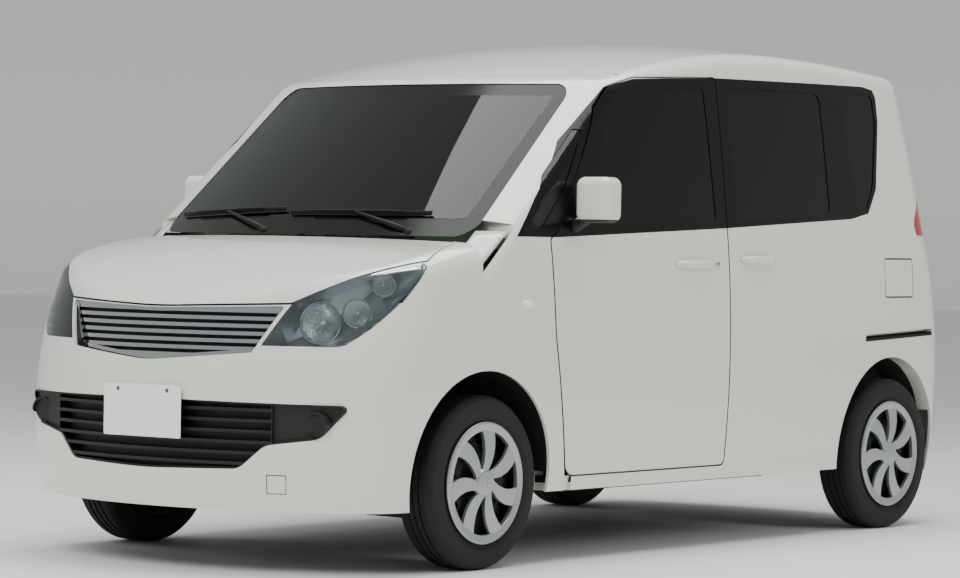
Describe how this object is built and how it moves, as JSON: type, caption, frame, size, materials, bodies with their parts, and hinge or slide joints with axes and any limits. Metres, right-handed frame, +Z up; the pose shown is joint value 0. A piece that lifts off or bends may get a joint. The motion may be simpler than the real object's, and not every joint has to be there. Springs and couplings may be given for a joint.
{
  "type": "compact minivan",
  "caption": "Compact minivan with hinged front doors, sliding rear doors, bonnet, tailgate, steered front wheels and a cabin seen through its glass.",
  "frame": {"origin": "on the ground, midway between front and rear ends and between the sides", "axes": "+X to the car's left, +Y to its rear, +Z up"},
  "size_m": [1.872, 3.7076, 1.7649],
  "materials": {
    "body_paint": "gloss",
    "underbody_steel": "satin",
    "black_plastic": "matte",
    "bright_chrome": "polished",
    "lamp_housing": "gloss",
    "clear_glass": "clear",
    "privacy_glass": "dark tint",
    "red_lamp": "gloss",
    "trim_plastic": "grained",
    "seat_fabric": "woven",
    "cast_block": "cast",
    "bare_steel": "brushed",
    "wheel_silver": "metallic",
    "tyre_rubber": "matte"
  },
  "bodies": {
    "body": {"floorpan": "underbody_steel", "bodyside_left": "body_paint", "bodyside_right": "body_paint", "roof_panel": "body_paint", "front_structure": "underbody_steel", "cowl_panel": "black_plastic", "front_liners": "black_plastic", "front_fenders": "body_paint", "front_bumper": "body_paint", "bumper_grille": "black_plastic", "radiator_grille": "bright_chrome", "headlamps": "lamp_housing", "headlamp_lenses": "clear_glass", "windshield": "clear_glass", "fixed_side_glass": "privacy_glass", "rear_bumper": "body_paint", "tail_lamps": "red_lamp", "sliding_door_left": "body_paint", "sliding_door_right": "body_paint", "dashboard": "trim_plastic", "front_seats": "seat_fabric", "rear_bench": "seat_fabric", "engine": "cast_block", "front_suspension": "underbody_steel", "rear_axle": "underbody_steel", "exhaust": "bare_steel", "fuel_tank": "black_plastic"},
    "hood": {"hood": "body_paint"},
    "tailgate": {"tailgate": "body_paint", "tailgate_glass": "privacy_glass"},
    "front_door_left": {"front_door_left": "body_paint", "front_door_glass_left": "clear_glass", "door_mirror_left": "body_paint"},
    "front_door_right": {"front_door_right": "body_paint", "front_door_glass_right": "clear_glass", "door_mirror_right": "body_paint"},
    "fuel_flap": {"fuel_flap": "body_paint"},
    "steering_wheel": {"steering_wheel": "trim_plastic"},
    "knuckle_left": {"knuckle_left": "bare_steel"},
    "knuckle_right": {"knuckle_right": "bare_steel"},
    "wheel_front_left": {"tyre_front_left": "tyre_rubber", "wheel_front_left": "wheel_silver"},
    "wheel_front_right": {"tyre_front_right": "tyre_rubber", "wheel_front_right": "wheel_silver"},
    "wheel_rear_left": {"tyre_rear_left": "tyre_rubber", "wheel_rear_left": "wheel_silver"},
    "wheel_rear_right": {"tyre_rear_right": "tyre_rubber", "wheel_rear_right": "wheel_silver"}
  },
  "joints": [
    {"name": "hood_hinge", "type": "hinge", "parent": "body", "child": "hood", "pos_m": [0.64, -1.112, 1.028], "axis": [-1, 0, 0], "range_deg": [0, 60]},
    {"name": "tailgate_hinge", "type": "hinge", "parent": "body", "child": "tailgate", "pos_m": [0.25, 1.53, 1.698], "axis": [1, 0, 0], "range_deg": [0, 85]},
    {"name": "door_hinge_left", "type": "hinge", "parent": "body", "child": "front_door_left", "pos_m": [0.78, -0.8, 0.77], "axis": [0, 0, -1], "range_deg": [0, 65]},
    {"name": "door_hinge_right", "type": "hinge", "parent": "body", "child": "front_door_right", "pos_m": [-0.78, -0.8, 0.77], "axis": [0, 0, 1], "range_deg": [0, 65]},
    {"name": "fuel_flap_hinge", "type": "hinge", "parent": "body", "child": "fuel_flap", "pos_m": [0.774, 1.27, 0.931], "axis": [0, 0, -1], "range_deg": [0, 100]},
    {"name": "steer_left", "type": "hinge", "parent": "body", "child": "knuckle_left", "pos_m": [0.65, -1.095, 0.166], "axis": [-0.1736, 0, 0.9848], "range_deg": [-32, 32]},
    {"name": "steer_right", "type": "hinge", "parent": "body", "child": "knuckle_right", "pos_m": [-0.65, -1.095, 0.166], "axis": [0.1736, 0, 0.9848], "range_deg": [-32, 32]},
    {"name": "steering_turn", "type": "hinge", "parent": "body", "child": "steering_wheel", "pos_m": [-0.34, -0.5, 0.96], "axis": [0, 0.8829, 0.4695], "range_deg": [-500, 500]},
    {"name": "wheel_front_left_spin", "type": "hinge", "parent": "knuckle_left", "child": "wheel_front_left", "pos_m": [0.705, -1.095, 0.278], "axis": [1, 0, 0], "continuous": true},
    {"name": "wheel_front_right_spin", "type": "hinge", "parent": "knuckle_right", "child": "wheel_front_right", "pos_m": [-0.705, -1.095, 0.278], "axis": [1, 0, 0], "continuous": true},
    {"name": "wheel_rear_left_spin", "type": "hinge", "parent": "body", "child": "wheel_rear_left", "pos_m": [0.705, 1.355, 0.278], "axis": [1, 0, 0], "continuous": true},
    {"name": "wheel_rear_right_spin", "type": "hinge", "parent": "body", "child": "wheel_rear_right", "pos_m": [-0.705, 1.355, 0.278], "axis": [1, 0, 0], "continuous": true}
  ],
  "couplings": [
    {"joint": "steer_right", "follows": "steer_left", "ratio": 1},
    {"joint": "steering_turn", "follows": "steer_left", "ratio": 15}
  ]
}
